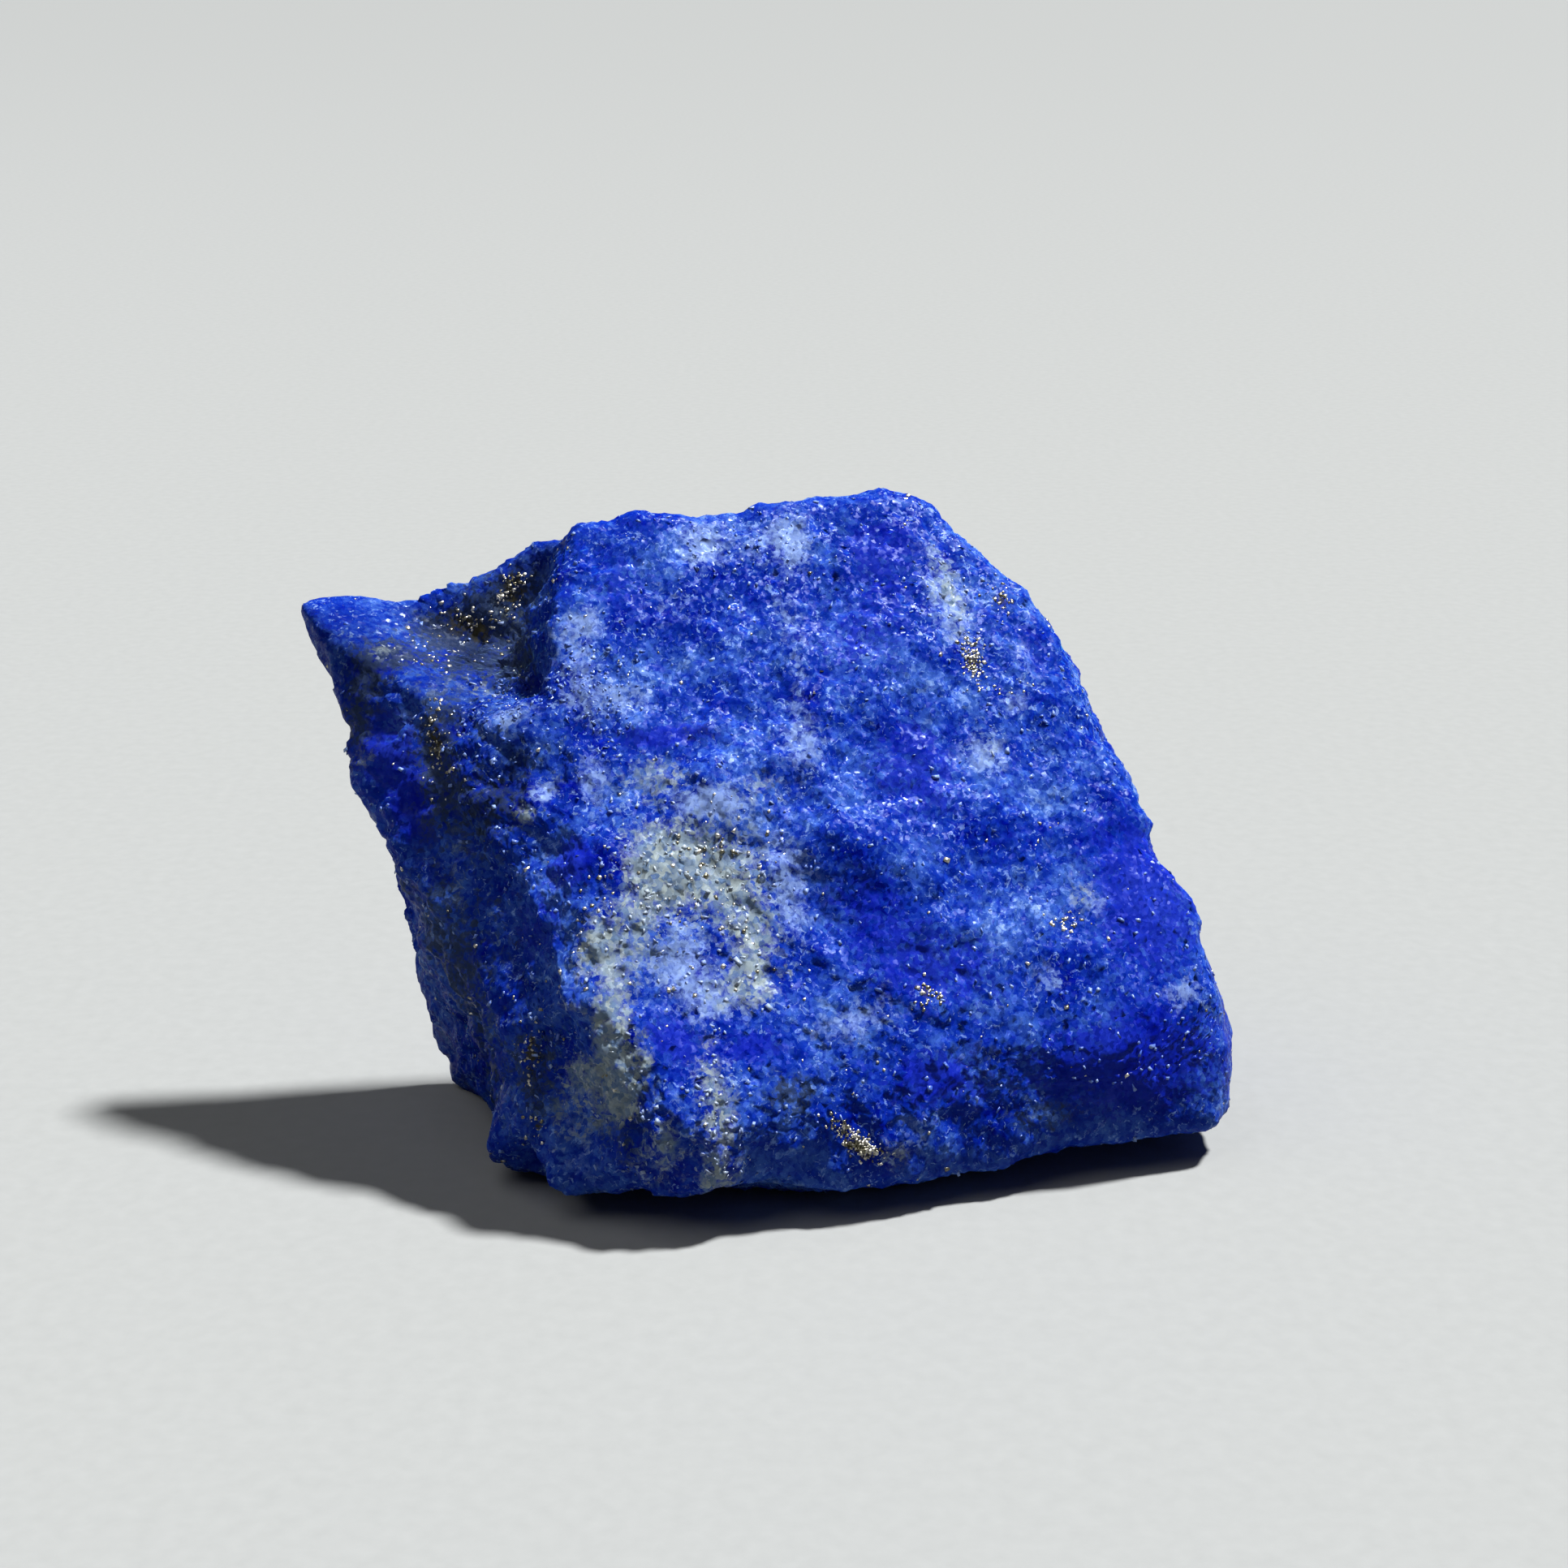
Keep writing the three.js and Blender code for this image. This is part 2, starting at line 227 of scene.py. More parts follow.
PATCHES["smoke_and_painted_shade"] = {  # dark grey, cloudy stone, and painted shade in the alcove and on shaded parts
    "chin grey": ((-8.0, -9.8), (1.4, 2.8), 0.7),
    # The ridge patch is partly painted shade along the ridge's shaded edge.
    "ridge smoke": ((-7.4, -7.6), (0.9, 2.2), 0.5),
    "low smoke": ((6.9, -10.8), (2.2, 1.0), 0.8),
    "low cloud": ((4.9, -8.8), (1.0, 1.0), 0.55),
    "lip smoke": ((-2.1, -9.3), (1.6, 1.0), 0.75),
    "middle smoke": ((-3.2, 3.6), (1.0, 0.8), 0.45),
    # The alcove, groove, riser and shelf patches and the alcove haze are painted shade in the
    # alcove's recess; the horn haze dims the lit horn with painted shade.
    "alcove": ((-10.6, 8.6), (2.2, 1.6), 0.95, "back wall", 20),
    "groove": ((-12.3, 7.1), (1.5, 0.8), 0.9, "back wall"),
    "riser": ((1.0, 0.5), (2.6, 2.0), 0.75, "riser"),
    "shelf smoke": ((-8.5, 7.4), (1.0, 1.6), 0.8, "tread"),
    "shelf haze": ((-10.8, 6.4), (3.0, 2.6), 0.4, "tread"),
    "horn haze": ((-14.2, 10.0), (2.2, 1.8), 0.3, "tread"),
    "shelf speck": ((-12.5, 8.6), (1.2, 0.7), 0.7, "tread"),
    "left margin": ((-13.3, 2.4), (1.0, 2.2), 0.75, "left"),
    "left streak": ((-9.7, 1.4), (0.9, 2.4), 0.7, "left", 20),
    # Left dark and left heel smoke are painted shade on the shaded left side and on the strip
    # beneath it.
    "left dark": ((-7.3, 0.3), (1.7, 1.4), 0.5, "left"),
    "left low streak": ((-10.8, -4.0), (0.7, 3.0), 0.6, "left", 20),
    "left foot smoke": ((-3.6, -8.6), (1.6, 2.2), 0.55, "left"),
    "left haze": ((-7.0, -4.5), (6.0, 6.0), 0.35, "left"),
    "left heel smoke": ((0.0, -2.0), (2.5, 8.0), 0.7, "left back"),
    "alcove haze": ((-10.0, 8.0), (1.2, 0.8), 0.5, "tread"),
    "back smoke": ((7.0, -4.0), (3.0, 2.0), 0.7, "back left"),
}
PATCHES["veil"] = {  # blue stone clouded white
    "back veil": ((-3.0, 5.0), (4.0, 1.5), 0.7, "back left", -30),
    "back middle veil": ((2.6, 0.6), (4.4, 2.6), 0.55, "back left", -35),
    "back low veil": ((-2.5, -3.0), (3.5, 1.5), 0.65, "back right", 20),
    "top back veil": ((-2.0, 0.0), (1.2, 2.0), 0.6, "top back", 30),
    "lavender": ((-5.3, -4.3), (1.7, 1.6), 0.85),
    "lower heart": ((-3.9, -6.0), (1.7, 1.0), 0.75),
    "heart veil": ((-3.6, 0.2), (3.6, 3.0), 0.5),
    "ledge chip": ((-3.3, 1.0), (1.2, 0.5), 0.95),
    "heart rim": ((-1.0, -2.4), (0.9, 2.2), 0.75),
    "margin": ((-7.2, 6.2), (1.0, 2.4), 0.7),
    "margin top": ((-6.6, 8.2), (0.9, 0.8), 0.6),
    "margin low": ((-5.4, 5.3), (1.3, 0.9), 0.68),
    "margin foot": ((-7.2, 2.4), (0.8, 1.2), 0.65),
    "top left haze": ((-3.4, 8.6), (1.5, 1.3), 0.5),
    "top haze": ((-0.4, 11.0), (1.9, 1.0), 0.5),
    "top wisps": ((-2.2, 11.0), (1.0, 1.2), 0.8),
    "top white": ((1.4, 10.9), (0.7, 1.5), 0.75),
    "thin streak": ((0.6, 7.2), (0.7, 3.4), 0.6),
    "middle pale": ((0.2, 3.0), (1.1, 1.4), 0.65),
    "shoulder band": ((6.6, 8.2), (0.9, 2.5), 1.0, "front", 8),
    "flank veil": ((6.7, 2.0), (1.1, 1.1), 0.9),
    "flank dot": ((8.2, 3.9), (0.7, 0.6), 0.8),
    "flank pale": ((8.9, 5.6), (0.6, 1.0), 0.6),
    "right pale": ((9.3, -3.7), (1.2, 1.0), 0.65),
    "right low pale": ((7.4, -6.4), (1.1, 0.9), 0.6),
    "toe pale": ((12.1, -7.3), (1.2, 0.8), 0.75),
    "low blue": ((0.3, -7.1), (2.2, 0.9), 0.75, "front", 12),
    # Partly painted light: the chin veil brightens the chin facet, which faces away from the key
    # light.
    "chin veil": ((-6.5, -10.2), (0.9, 1.7), 0.6),
    "lip blue": ((1.8, -11.2), (1.1, 1.0), 0.6),
    "shelf chip": ((-9.5, 4.1), (1.0, 0.9), 0.85, "tread"),
    "shelf blue": ((-11.3, 6.6), (1.8, 1.3), 0.35, "tread"),
    "ridge veil": ((-5.7, 0.9), (0.5, 0.5), 0.9, "left"),
    "left streak veil": ((-7.9, -2.4), (0.4, 3.0), 0.5, "left", 20),
    "left low grey": ((-1.7, -10.6), (1.2, 1.4), 0.5, "left"),
    "left middle grey": ((-5.6, -6.8), (1.4, 1.2), 0.35, "left"),
}
PATCHES["calcite"] = {  # the greenish-grey heart of the front face, and its grey edges
    "heart": ((-3.6, -1.1), (1.9, 1.6), 0.95),
    "heart left": ((-5.5, -1.0), (1.5, 2.0), 0.8),
    "heart low left": ((-6.6, -3.6), (1.2, 1.7), 0.7),
    "heart right": ((-2.5, -3.7), (1.2, 1.8), 0.9),
    "heart foot": ((-3.3, -5.6), (1.5, 0.9), 0.65),
    "over the heart": ((-5.1, 2.3), (1.4, 0.9), 0.7),
    "ridge grey": ((-7.7, -4.4), (0.6, 1.5), 0.55),
    "ridge foot": ((-7.6, -7.2), (0.6, 2.0), 0.5),
    "chin calcite": ((-7.9, -8.6), (0.8, 1.3), 0.6),
    "chin low calcite": ((-7.4, -11.4), (1.1, 0.9), 0.75),
    "chin foot": ((-6.4, -10.2), (0.6, 1.0), 0.7),
    "foot calcite": ((-2.2, -9.2), (1.0, 1.4), 0.55, "left"),
    "low band": ((-4.7, -9.6), (0.8, 2.6), 0.8),
    "low white": ((-4.9, -12.3), (1.0, 0.9), 0.95),
    "lip grey": ((1.2, -11.6), (0.9, 0.7), 0.7),
    "ledge grey": ((-1.6, 1.5), (1.0, 0.8), 0.65),
    "shoulder grey": ((6.7, 8.4), (0.7, 2.2), 0.8, "front", 8),
    "flank grey": ((6.9, 2.3), (0.5, 0.8), 0.6),
    "right grey": ((9.2, -3.5), (0.5, 0.7), 0.65),
    "ridge chip": ((-8.0, -6.4), (0.35, 0.6), 0.85),
    "chin chip": ((-7.7, -8.8), (0.5, 0.5), 0.8),
    "chin right": ((-6.8, -7.7), (0.4, 0.6), 0.7),
    "left ridge": ((-2.6, -4.2), (0.5, 1.3), 0.6, "left"),
    "left low ridge": ((-1.1, -6.5), (0.5, 1.3), 0.6, "left"),
    "left chip": ((-2.6, -5.9), (0.9, 0.22), 0.8, "left"),
    "left grey": ((-2.1, -7.9), (0.7, 0.6), 0.7, "left"),
    "ridge fleck": ((-6.0, 0.1), (0.5, 0.45), 0.8, "left"),
    "left end fleck": ((-12.5, 1.1), (0.5, 0.5), 0.65, "left"),
    "horn fleck": ((-12.9, 8.9), (0.5, 0.4), 0.75, "tread"),
    "alcove grey": ((-10.4, 8.0), (0.7, 0.6), 0.6, "back wall"),
    "shelf grain": ((-9.8, 6.2), (0.5, 0.8), 0.6, "tread", 30),
    "back calcite": ((3.0, 1.5), (3.2, 1.2), 0.75, "back left", -35),
    "back low calcite": ((-4.0, -3.5), (1.6, 0.8), 0.65, "back right", 20),
}
PATCHES["tarnish"] = {  # olive-brown stone about clusters of pyrite
    "alcove gold": ((-11.6, 7.4), (1.3, 0.6), 0.9, "back wall", -20),
    "rim gold": ((-10.3, 9.0), (0.5, 0.8), 0.85, "back wall"),
    "shoulder gold": ((7.0, 5.6), (0.4, 0.7), 0.85),
    "shoulder olive": ((8.6, 8.0), (0.4, 0.5), 0.75),
    "lip gold": ((-0.1, -11.2), (0.85, 0.35), 0.95, "front", -50),
    "low speck": ((3.0, -6.4), (0.35, 0.4), 0.8),
    "right speck": ((8.5, -4.4), (0.4, 0.3), 0.8),
    "heart speck": ((-3.3, -0.6), (0.9, 0.5), 0.45),
    "left gold": ((-9.9, 2.0), (0.35, 1.5), 0.8, "left", 20),
    "foot gold": ((-3.9, -7.7), (0.25, 0.9), 0.8, "left"),
    "foot speck": ((-3.4, -10.0), (0.35, 0.4), 0.7, "left"),
    "back gold": ((2.2, 2.0), (1.3, 0.3), 0.85, "back left", -35),
}
PATCHES["painted_shade"] = {  # painted shade: a dark colour where shade falls, in crevices and on the horn and shelf
    "horn dusk": ((-13.8, 9.6), (2.6, 2.2), 0.42, "tread"),
    "shelf dusk": ((-10.6, 5.8), (2.4, 2.6), 0.36, "tread"),
    "alcove pit": ((-13.0, 7.5), (1.1, 0.45), 0.8, "back wall", -15),
    "upper pit": ((-9.5, 9.8), (0.9, 0.8), 0.65, "back wall", 30),
    "shelf pit": ((-11.4, 6.4), (0.8, 0.4), 0.6, "back wall", -20),
    "crevice": ((-8.0, 6.0), (0.5, 1.0), 0.45, "tread"),
    "under the shelf": ((-6.9, 1.9), (0.5, 1.2), 0.6, "left", 10),
    "left crack": ((-7.4, -0.2), (0.8, 1.2), 0.45, "left", 20),
    "foot crack": ((-3.6, -8.8), (0.3, 1.8), 0.5, "left"),
    "heel crack": ((-9.2, -5.4), (0.4, 3.5), 0.4, "left", 20),
}

# Crystals: seed of their draws, the power that makes large ones rare, the share of the size
# by which they are sunk, the habit, which is the length, width and height of a block of
# size 1, and how far blocks lean and are skewed.
CALCITE = {"seed": 19, "rarity": 1.5, "sunk": 0.03, "habit": (1.0, 0.6, 0.2), "lean": 0.35,
           "skew": 0.4}
PYRITE = {"seed": 7, "rarity": 2, "sunk": 0.3, "habit": (1.0, 0.85, 0.8), "lean": 0.5,
          "skew": 0.25}

# Clusters of crystals: place across and up a face, half width and height, number, and width
# of the largest. Then the face and the turn, as above.
CALCITE_CLUSTERS = {
    "heart": ((-4.4, -2.2), (2.6, 3.0), 260, 0.22),
    "low band": ((-4.7, -10.4), (0.8, 2.2), 80, 0.2),
    "margin": ((-6.6, 5.8), (1.2, 2.0), 200, 0.17),
    "top": ((-0.4, 10.8), (2.4, 1.2), 90, 0.17),
    "shoulder": ((6.8, 7.6), (0.9, 2.6), 70, 0.17, "front", 8),
    "shelf": ((-9.6, 4.6), (1.4, 1.4), 110, 0.2, "tread"),
    "chin": ((-7.8, -9.6), (1.2, 2.6), 60, 0.17),
}
PYRITE_CLUSTERS = {
    "heart": ((-3.3, -0.8), (1.4, 0.8), 36, 0.2),
    "heart low": ((-4.4, -3.4), (2.6, 2.6), 60, 0.17),
    "shoulder": ((7.0, 5.6), (0.35, 0.7), 110, 0.15),
    "shoulder top": ((8.6, 8.0), (0.4, 0.5), 25, 0.14),
    "lip": ((-0.1, -11.2), (0.85, 0.3), 240, 0.14, "front", -50),
    "low": ((3.0, -6.4), (0.35, 0.4), 35, 0.16),
    "right": ((8.5, -4.4), (0.4, 0.3), 30, 0.16),
    "flank": ((8.3, 4.6), (0.6, 0.4), 12, 0.12),
    "rim": ((-10.3, 9.0), (0.4, 0.7), 60, 0.18, "back wall"),
    "alcove": ((-11.6, 7.6), (1.4, 0.7), 60, 0.18, "back wall", -20),
    "shelf": ((-10.6, 8.6), (1.6, 0.9), 35, 0.16, "tread"),
    "left": ((-9.9, 2.0), (0.35, 1.4), 60, 0.15, "left", 20),
    "foot": ((-3.9, -7.7), (0.3, 0.9), 50, 0.14, "left"),
    "foot low": ((-3.4, -10.0), (0.3, 0.4), 14, 0.15, "left"),
    "back": ((2.2, 2.0), (1.3, 0.3), 130, 0.16, "back left", -35),
    "left ridge": ((-3.0, -2.6), (0.5, 1.2), 20, 0.13, "left"),
}

# ---------- Directions and planes ----------


def facing(azimuth, elevation):
    """The unit vector at an azimuth and elevation in degrees; azimuth -90 is the front."""
    turn, lift = math.radians(azimuth), math.radians(elevation)
    level = math.cos(lift)
    return np.array([level * math.cos(turn), level * math.sin(turn), math.sin(lift)])


def unit_rows(rows):
    """Each row brought to length 1."""
    return rows / np.linalg.norm(rows, axis=1, keepdims=True)


def plane(corner, azimuth, elevation):
    """A plane as its outward normal and its distance from CORE."""
    normal = facing(azimuth, elevation)
    return normal, normal @ (np.array(CORNERS[corner]) - CORE)


def face_axes(name):
    """The point of a face's plane nearest to CORE, and its unit vectors.

    They run level across the face, up its slope, and outward.
    """
    corner, azimuth, elevation = {**FACETS, **ALCOVE}[name]
    outward, distance = plane(corner, azimuth, elevation)
    across = facing(azimuth + 90, 0)
    return CORE + outward * distance, across, np.cross(outward, across), outward


# ---------- Layered breaks ----------

# Large primes that scatter the bits of a number.
PRIMES = np.array([374761393, 668265263, 2246822519, 3266489917], np.uint32)


def cell_number(cell, seed):
    """A repeatable number from 0 to 1 for each row of whole cell numbers.

    The row and the seed are multiplied by large primes and added, and the sum is mixed
    with its own high bits and multiplied again, twice.
    """
    word = np.uint32
    hashed = (cell.astype(word) * PRIMES[:3]).sum(axis=1, dtype=word)
    hashed = hashed + word(seed * int(PRIMES[3]) % 2**32)
    for shift, prime in ((15, PRIMES[2]), (13, PRIMES[3])):
        hashed = (hashed ^ (hashed >> word(shift))) * prime
    return (hashed ^ (hashed >> word(16))) / 2**32


def bowls(points, layer):
    """The lowest of many shallow bowls, one about a scattered point in each lattice cell.

    A bowl's height is the squared distance from its point, plus a random level and a
    random lean. Neighbouring bowls meet in sharp arrises, as the scars of broken stone do.
    Of a cell's seven numbers, three place its point, one is the level and three the lean.
    """
    place = points / layer["size"]
    home = np.floor(place).astype(np.int64)
    lowest = np.full(len(points), np.inf)
    for step in np.ndindex(3, 3, 3):
        cell = home + np.array(step) - 1
        numbers = [cell_number(cell, layer["seed"] + index) for index in range(7)]
        offset = place - cell - np.stack(numbers[:3], axis=1)
        lean = ((np.stack(numbers[4:], axis=1) - 0.5) * offset).sum(axis=1)
        height = (offset**2).sum(axis=1) + LEVEL_SPREAD * numbers[3] + BOWL_TILT * lean
        lowest = np.minimum(lowest, height)
    return lowest - layer["level"]


# ---------- The stone's surface ----------


def broken_form(units):
    """Distance to the fracture planes along each direction, and some facets' shares.

    The planes' inverse distances are added at a high power and the root taken, which
    gives the nearest plane with a slightly rounded edge. The alcove adds a step.
    """
    weights = {}
    for name, values in FACETS.items():
        normal, distance = plane(*values)
        weights[name] = np.maximum(0, units @ normal / distance) ** EDGE_POWER
    total = sum(weights.values())
    walls = [plane(*values) for values in ALCOVE.values()]
    reach = np.stack([units @ normal / distance for normal, distance in walls])
    step = 1 / (np.maximum(reach, BARELY) ** -EDGE_POWER).sum(axis=0)
    total = total + np.where(reach.min(axis=0) > BARELY, step, 0)
    share = {"streaked": sum(weights[name] for name in STREAKED) / total,
             "front": weights["front"] / total, "base": weights["base"] / total}
    return total ** (-1 / EDGE_POWER), share


def texture_factor(points):
    """1 on common rough stone, moving to each place's factor as exp(-(distance / radius)^4)."""
    factor = np.ones(len(points))
    for place, radius, there in TEXTURE.values():
        gap = ((points - np.array(place)) ** 2).sum(axis=1) / radius**2
        factor += (there - 1) * np.exp(-(gap**2))
    return factor


def breaks(points, share):
    """Relief of the layered breaks in mm: each layer's bowls times its depth.

    Bites, chips, streaks and splinters are hollows. Lumps and crumbs are upturned bowls.
    """
    run = (points @ STREAK_RUN)[:, None] * STREAK_RUN * STREAK_STRETCH
    bite_depth = BITES["depth"] * (1 - (1 - BITES_ON_FRONT) * share["front"])
    chip_depth = CHIPS["depth"] * (1 - (1 - CHIPS_ON_STREAKED) * share["streaked"])
    relief = bite_depth * bowls(points, BITES) + chip_depth * bowls(points, CHIPS)
    relief += STREAKS["depth"] * share["streaked"] * bowls(points - run, STREAKS)
    rough = texture_factor(points) * (1 + ROUGHER_STREAKED * share["streaked"])
    relief -= LUMPS["depth"] * rough * bowls(points, LUMPS)
    relief -= CRUMBS["depth"] * rough * bowls(points, CRUMBS)
    relief += SPLINTERS["depth"] * share["streaked"] * bowls(points - run, SPLINTERS)
    return relief * (1 - share["base"])


def swellings(points):
    """Sum of the spots and nicks, each its height times exp(-(distance / radius) squared)."""
    total = np.zeros(len(points))
    for place, radius, height in (*SPOTS.values(), *NICKS.values()):
        gap = ((points - np.array(place)) ** 2).sum(axis=1)
        total += height * np.exp(-gap / radius**2)
    return total


def surface_points(units, shake=None):
    """The stone's surface along each direction: broken form plus relief, cut off at z = 0.

    shake holds one number from -0.5 to 0.5 per direction, for the grain's relief.
    """
    distance, share = broken_form(units)
    form = CORE + units * distance[:, None]
    relief = breaks(form, share) + swellings(form)
    if shake is not None:
        relief += GRAIN_RELIEF * 2 * shake * texture_factor(form) * (1 - share["base"])
    points = CORE + units * (distance + relief)[:, None]
    points[:, 2] = np.maximum(points[:, 2], 0)
    return points + PLACE


def box_lattice(squares):
    """The surface of a box of squares: its whole-number points, and its triangles.

    Each side is a grid over two of the axes at one end of the third. Points that sides
    share are merged, and each square is cut along one diagonal or the other at random.
    """
    sides = []
    for axis in range(3):
        first, second = (axis + 1) % 3, (axis + 2) % 3
        along, over = np.meshgrid(np.arange(squares[first] + 1),
                                  np.arange(squares[second] + 1), indexing="ij")
        for level in (0, squares[axis]):
            grid = np.empty(along.shape + (3,), int)
            grid[..., axis], grid[..., first], grid[..., second] = level, along, over
            sides.append(grid if level else grid[:, ::-1])
    flat = np.concatenate([grid.reshape(-1, 3) for grid in sides])
    points, index = np.unique(flat, axis=0, return_inverse=True)
    index = index.ravel()
    triangles = []
    start = 0
    for grid in sides:
        rows, columns = grid.shape[:2]
        near = index[start:start + rows * columns].reshape(rows, columns)
        start += rows * columns
        a, b = near[:-1, :-1].ravel(), near[1:, :-1].ravel()
        c, d = near[1:, 1:].ravel(), near[:-1, 1:].ravel()
        cut = (cell_number(points[a], CUT_SEED) < 0.5)[:, None]
        for one, other in (((a, b, c), (a, b, d)), ((a, c, d), (b, c, d))):
            triangles.append(np.where(cut, np.stack(one, axis=1), np.stack(other, axis=1)))
    return points, np.concatenate(triangles)


def box_directions(places):
    """Unit vectors from CORE to points of the box of directions, given as squares counted.

    The box lies along the front face's own axes: across it, up its slope and outward.
    """
    inside = (places / np.array(SQUARES) * 2 - 1) * REACH
    return unit_rows(inside @ np.stack(face_axes("front")[1:]))


def stone_mesh():
    """The whole stone: its points in mm and its triangles."""
    lattice, triangles = box_lattice(SQUARES)
    stray = np.stack([cell_number(lattice, seed) for seed in STRAY_SEEDS], axis=1) - 0.5
    units = box_directions(lattice + 2 * LATTICE_SHAKE * stray)
    return surface_points(units, cell_number(lattice, SHAKE_SEED) - 0.5), triangles


# ---------- Colour patches ----------

PATCH_DEPTH = 2.5  # half thickness of a patch, in and out of its face


def patch_share(points, at, half, face="front", turn=0):
    """From 0 to 1: exp of minus the squared place in a turned ellipsoid on a face."""
    foot, across, up_slope, outward = face_axes(face)
    offset = points - PLACE - foot
    x, y = offset @ across - at[0], offset @ up_slope - at[1]
    cosine, sine = math.cos(math.radians(turn)), math.sin(math.radians(turn))
    along, over = x * cosine + y * sine, y * cosine - x * sine
    out = (offset @ outward / PATCH_DEPTH) ** 2
    return np.exp(-((along / half[0]) ** 2) - (over / half[1]) ** 2 - out)


def mineral_share(points, mineral):
    """Sum of all patches of one mineral or of painted shade, each times its strength, at most 1.
    """
    total = np.zeros(len(points))
    for at, half, strength, *where in PATCHES[mineral].values():
        total += strength * patch_share(points, at, half, *where)
    return np.minimum(total, 1)


# ---------- Crystals standing in the surface ----------

CUBE_CORNERS = np.array([(x, y, z) for z in (-1, 1) for y in (-1, 1) for x in (-1, 1)], float)
CUBE_TRIANGLES = np.array([
    (0, 2, 3), (0, 3, 1), (4, 5, 7), (4, 7, 6), (0, 1, 5), (0, 5, 4),
    (2, 6, 7), (2, 7, 3), (0, 4, 6), (0, 6, 2), (1, 3, 7), (1, 7, 5),
])
NORMAL_STEP = 0.01  # length of the steps that find a normal, in radians
ASIDE = (0.3, 0.5, 0.8)  # the first step is square to this; any direction would do
AIMS = 4  # tries that bring a crystal of a cluster to its place on the real surface
CLUSTER_SPREAD = 0.7  # standard deviation in a cluster, as a share of its half size
SMALLEST_SCATTERED = 0.35  # share of the largest, before it is raised to the rarity
SMALLEST_IN_CLUSTER = 0.5  # the same in a cluster
CLUSTER_RARITY = 2
STRETCH = 0.3  # how far a block's proportions stray from its habit


def outward_at(units):
    """The surface's outward normals: cross products of two short steps along it."""
    side = unit_rows(np.cross(units, ASIDE))
    ahead = np.cross(units, side)
    steps = [surface_points(unit_rows(units + sign * NORMAL_STEP * way))
             for way in (side, ahead) for sign in (1, -1)]
    return unit_rows(np.cross(steps[0] - steps[1], steps[2] - steps[3]))


def scattered_units(dice, count):
    """Directions spread evenly over the box of directions."""
    area = np.array([REACH[1] * REACH[2], REACH[0] * REACH[2], REACH[0] * REACH[1]])
    axis = dice.choice(3, count, p=area / area.sum())
    places = dice.uniform(0, 1, (count, 3))
    places[np.arange(count), axis] = dice.integers(0, 2, count)
    return box_directions(places * np.array(SQUARES))


def cluster_units(dice, count, at, half, face="front", turn=0):
    """Directions towards points spread as a bell curve over a turned ellipse on a face."""
    foot, across, up_slope, _ = face_axes(face)
    cosine, sine = math.cos(math.radians(turn)), math.sin(math.radians(turn))
    along, over = dice.normal(scale=CLUSTER_SPREAD, size=(2, count)) * np.array(half)[:, None]
    wanted = np.stack([at[0] + along * cosine - over * sine,
                       at[1] + along * sine + over * cosine], axis=1)
    axes = np.stack([across, up_slope])
    aimed = wanted
    for _ in range(AIMS):
        units = unit_rows(foot + aimed @ axes - CORE)
        aimed = aimed + wanted - (surface_points(units) - PLACE - foot) @ axes.T
    return units


def blocks(dice, seats, outward, size, kind):
    """Small blocks at each seat: a cube's corners, stretched, shaken, leaned and spun."""
    count = len(seats)
    half = size[:, None] * np.array(kind["habit"]) / 2
    half = half * dice.uniform(1 - STRETCH, 1 + STRETCH, (count, 3))
    shaken = dice.uniform(1 - kind["skew"], 1 + kind["skew"], (count, 8, 3))
    corners = CUBE_CORNERS * half[:, None] * shaken
    top = unit_rows(outward + kind["lean"] * dice.normal(size=(count, 3)))
    length = unit_rows(np.cross(top, dice.normal(size=(count, 3))))
    turns = np.stack([length, np.cross(top, length), top], axis=1)
    points = (np.einsum("nki,nij->nkj", corners, turns) + seats[:, None]).reshape(-1, 3)
    triangles = (CUBE_TRIANGLES + 8 * np.arange(count)[:, None, None]).reshape(-1, 3)
    return points, triangles


def crystals(settings, kind, clusters):
    """Points and triangles of one kind of crystal: scattered ones, and then its clusters.

    A size is a random share of the largest, raised to a power so that small ones are common.
    """
    dice = np.random.default_rng(kind["seed"])
    units = [scattered_units(dice, settings.count)]
    share = dice.uniform(SMALLEST_SCATTERED, 1, settings.count)
    sizes = [settings.largest / MM * share ** kind["rarity"]]
    for at, half, count, largest, *where in clusters.values():
        units.append(cluster_units(dice, count, at, half, *where))
        sizes.append(largest * dice.uniform(SMALLEST_IN_CLUSTER, 1, count) ** CLUSTER_RARITY)
    units, sizes = np.concatenate(units), np.concatenate(sizes)
    outward = outward_at(units)
    seats = surface_points(units) - outward * (kind["sunk"] * sizes)[:, None]
    return blocks(dice, seats, outward, sizes, kind)


# ---------- Pieces ----------


def make_piece(name, points, triangles, material, shares=None):
    """A mesh object at the origin from points in mm; shares become float attributes."""
    mesh = bpy.data.meshes.new(name)
    mesh.vertices.add(len(points))
    mesh.vertices.foreach_set("co", (points * MM).astype(np.float32).ravel())
    mesh.loops.add(triangles.size)
    mesh.loops.foreach_set("vertex_index", triangles.astype(np.int32).ravel())
    mesh.polygons.add(len(triangles))
    mesh.polygons.foreach_set("loop_start", np.arange(len(triangles), dtype=np.int32) * 3)
    mesh.update(calc_edges=True)
    for share, values in (shares or {}).items():
        layer = mesh.attributes.new(share, "FLOAT", "POINT")
        layer.data.foreach_set("value", values.astype(np.float32))
    mesh.materials.append(material)
    mesh.validate()
    piece = in_scene(name, mesh)
    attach(piece, "root")
    return piece


def in_scene(name, data):
    """A new object with the given data, in the scene."""
    made = bpy.data.objects.new(name, data)
    bpy.context.scene.collection.objects.link(made)
    return made


# ---------- Materials ----------

